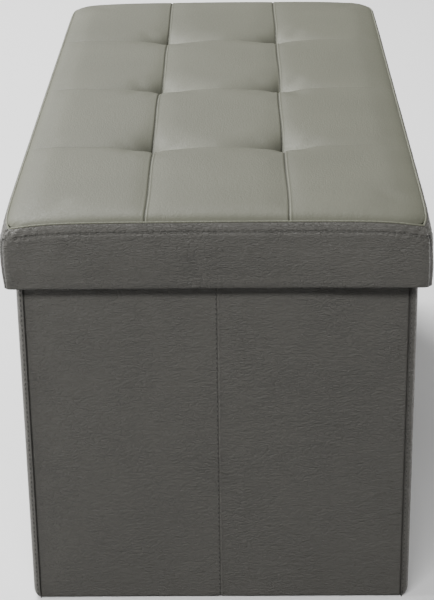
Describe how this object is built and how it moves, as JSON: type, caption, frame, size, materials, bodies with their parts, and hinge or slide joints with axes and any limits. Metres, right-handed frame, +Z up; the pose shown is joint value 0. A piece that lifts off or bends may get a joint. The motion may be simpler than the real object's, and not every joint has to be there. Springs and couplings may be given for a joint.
{
  "type": "storage bench",
  "caption": "Upholstered storage bench: leatherette box body that folds flat at its short ends, with a padded, tufted lift-off lid.",
  "frame": {"origin": "on the floor under the middle of the bench", "axes": "+X to the right when facing the front short end, +Y along the length away from that end, +Z up"},
  "size_m": [0.381, 0.781, 0.3966],
  "materials": {
    "side_leatherette": "fine-grained, satin",
    "top_leatherette": "fine-grained, satin",
    "fibreboard": "raw",
    "rail_wood": "raw",
    "foam": "open-celled foam",
    "hinge_tape": "woven",
    "sleeve_cloth": "non-woven",
    "lining_cloth": "non-woven",
    "cord": "twisted",
    "anchor_plastic": "matt",
    "staple_wire": "bright"
  },
  "bodies": {
    "left_wall": {"left_wall_board": "fibreboard", "left_wall_cover": "side_leatherette", "left_wall_lining": "lining_cloth", "front_left_corner_tape": "hinge_tape", "rear_left_corner_tape": "hinge_tape", "bottom_cloth": "lining_cloth", "base_board_left": "fibreboard", "base_board_right": "fibreboard", "base_sleeve": "sleeve_cloth"},
    "front_left_end": {"front_left_end_board": "fibreboard", "front_left_end_cover": "side_leatherette", "front_left_end_lining": "lining_cloth", "front_crease_tape": "hinge_tape"},
    "front_right_end": {"front_right_end_board": "fibreboard", "front_right_end_cover": "side_leatherette", "front_right_end_lining": "lining_cloth"},
    "right_wall": {"right_wall_board": "fibreboard", "right_wall_cover": "side_leatherette", "right_wall_lining": "lining_cloth", "front_right_corner_tape": "hinge_tape", "rear_right_corner_tape": "hinge_tape"},
    "rear_left_end": {"rear_left_end_board": "fibreboard", "rear_left_end_cover": "side_leatherette", "rear_left_end_lining": "lining_cloth", "rear_crease_tape": "hinge_tape"},
    "rear_right_end": {"rear_right_end_board": "fibreboard", "rear_right_end_cover": "side_leatherette", "rear_right_end_lining": "lining_cloth"},
    "lid": {"lid_board": "fibreboard", "lid_front_rail": "rail_wood", "lid_rear_rail": "rail_wood", "lid_left_rail": "rail_wood", "lid_right_rail": "rail_wood", "lid_foam": "foam", "lid_top_cover": "top_leatherette", "lid_skirt_cover": "side_leatherette", "lid_skirt_hem": "side_leatherette", "lid_welt": "top_leatherette", "lid_lining": "lining_cloth", "tuft_cords": "cord", "tuft_anchors": "anchor_plastic", "lid_staples": "staple_wire"}
  },
  "joints": [
    {"name": "wall_fold", "type": "hinge", "parent": "left_wall", "child": "front_left_end", "pos_m": [-0.1726, -0.3734, 0], "axis": [0, 0, 1], "range_deg": [0, 90], "deforming": ["bottom_cloth", "base_board_left", "base_board_right", "base_sleeve"]},
    {"name": "front_crease", "type": "hinge", "parent": "front_left_end", "child": "front_right_end", "pos_m": [0, -0.38025, 0], "axis": [0, 0, 1], "range_deg": [-180, 0]},
    {"name": "right_wall_fold", "type": "hinge", "parent": "front_right_end", "child": "right_wall", "pos_m": [0.1726, -0.3734, 0], "axis": [0, 0, 1], "range_deg": [0, 90]},
    {"name": "rear_left_fold", "type": "hinge", "parent": "left_wall", "child": "rear_left_end", "pos_m": [-0.1726, 0.3734, 0], "axis": [0, 0, 1], "range_deg": [-90, 0]},
    {"name": "rear_crease", "type": "hinge", "parent": "rear_left_end", "child": "rear_right_end", "pos_m": [0, 0.38025, 0], "axis": [0, 0, 1], "range_deg": [0, 180]},
    {"name": "lid_lift", "type": "slide", "parent": "left_wall", "child": "lid", "axis": [0, 0, 1], "range_m": [0, 0.4]}
  ],
  "couplings": [
    {"joint": "front_crease", "follows": "wall_fold", "ratio": -2},
    {"joint": "right_wall_fold", "follows": "wall_fold", "ratio": 1},
    {"joint": "rear_left_fold", "follows": "wall_fold", "ratio": -1},
    {"joint": "rear_crease", "follows": "wall_fold", "ratio": 2}
  ]
}
